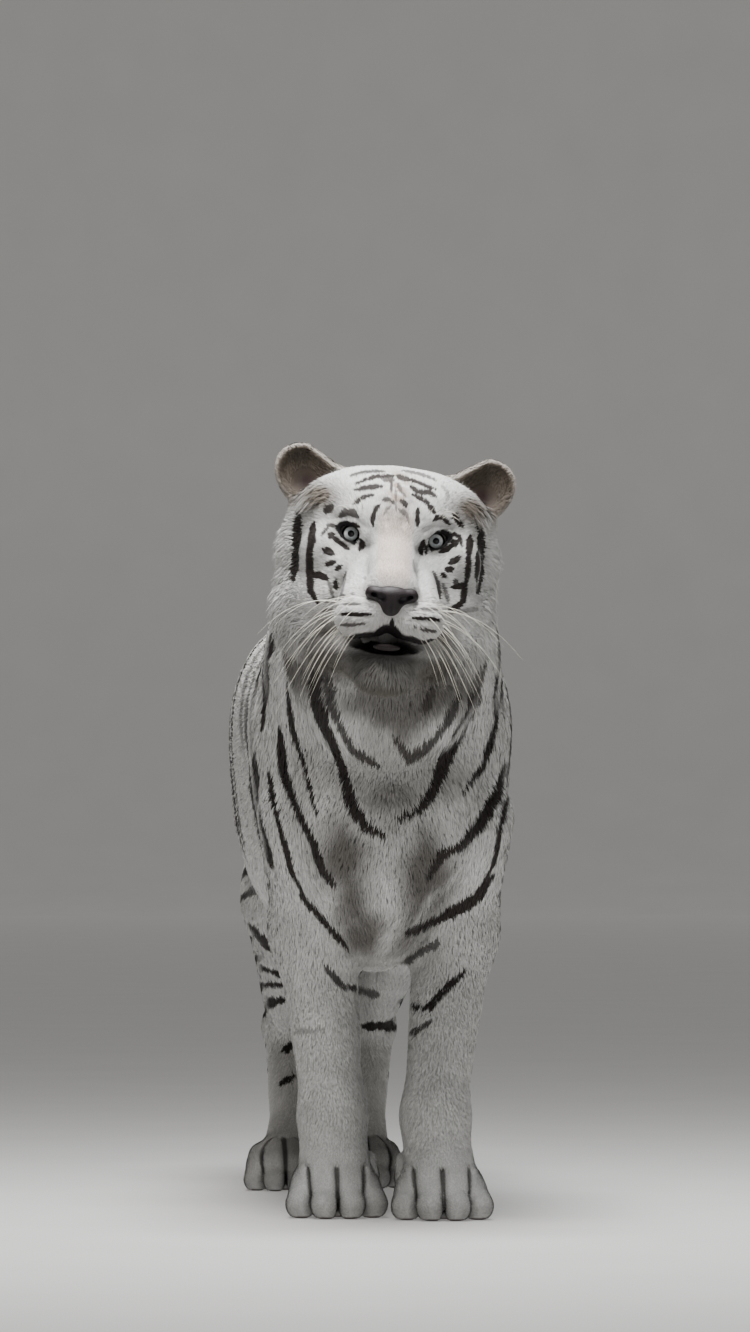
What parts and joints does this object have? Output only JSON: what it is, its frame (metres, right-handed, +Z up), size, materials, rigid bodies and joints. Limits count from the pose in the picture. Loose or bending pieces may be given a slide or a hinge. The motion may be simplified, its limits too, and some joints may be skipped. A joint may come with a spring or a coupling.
{
  "type": "white tiger",
  "caption": "Life-size still model of a standing white tiger with a striped coat, head raised and looking ahead, on its four paws.",
  "frame": {"origin": "middle of the bounding box, on the floor under the soles", "axes": "+Z up, the animal faces -Y, its own left side is +X"},
  "size_m": [0.4172, 2.1676, 1.1534],
  "materials": {
    "coat": "fur",
    "nose_leather": "moist",
    "eye": "wet",
    "tongue": "moist"
  },
  "bodies": {
    "root": {"ear_left": "coat", "ear_right": "coat", "eye_left": "eye", "eye_right": "eye", "front_lower_leg_left": "coat", "front_lower_leg_right": "coat", "front_paw_left": "coat", "front_paw_right": "coat", "front_upper_leg_left": "coat", "front_upper_leg_right": "coat", "head": "coat", "hind_instep_left": "coat", "hind_instep_right": "coat", "hind_paw_left": "coat", "hind_paw_right": "coat", "hind_shank_left": "coat", "hind_shank_right": "coat", "hind_thigh_left": "coat", "hind_thigh_right": "coat", "lower_jaw": "coat", "neck": "coat", "nose": "nose_leather", "tail_base": "coat", "tail_middle": "coat", "tail_tip": "coat", "tongue": "tongue", "trunk": "coat"}
  },
  "joints": []
}
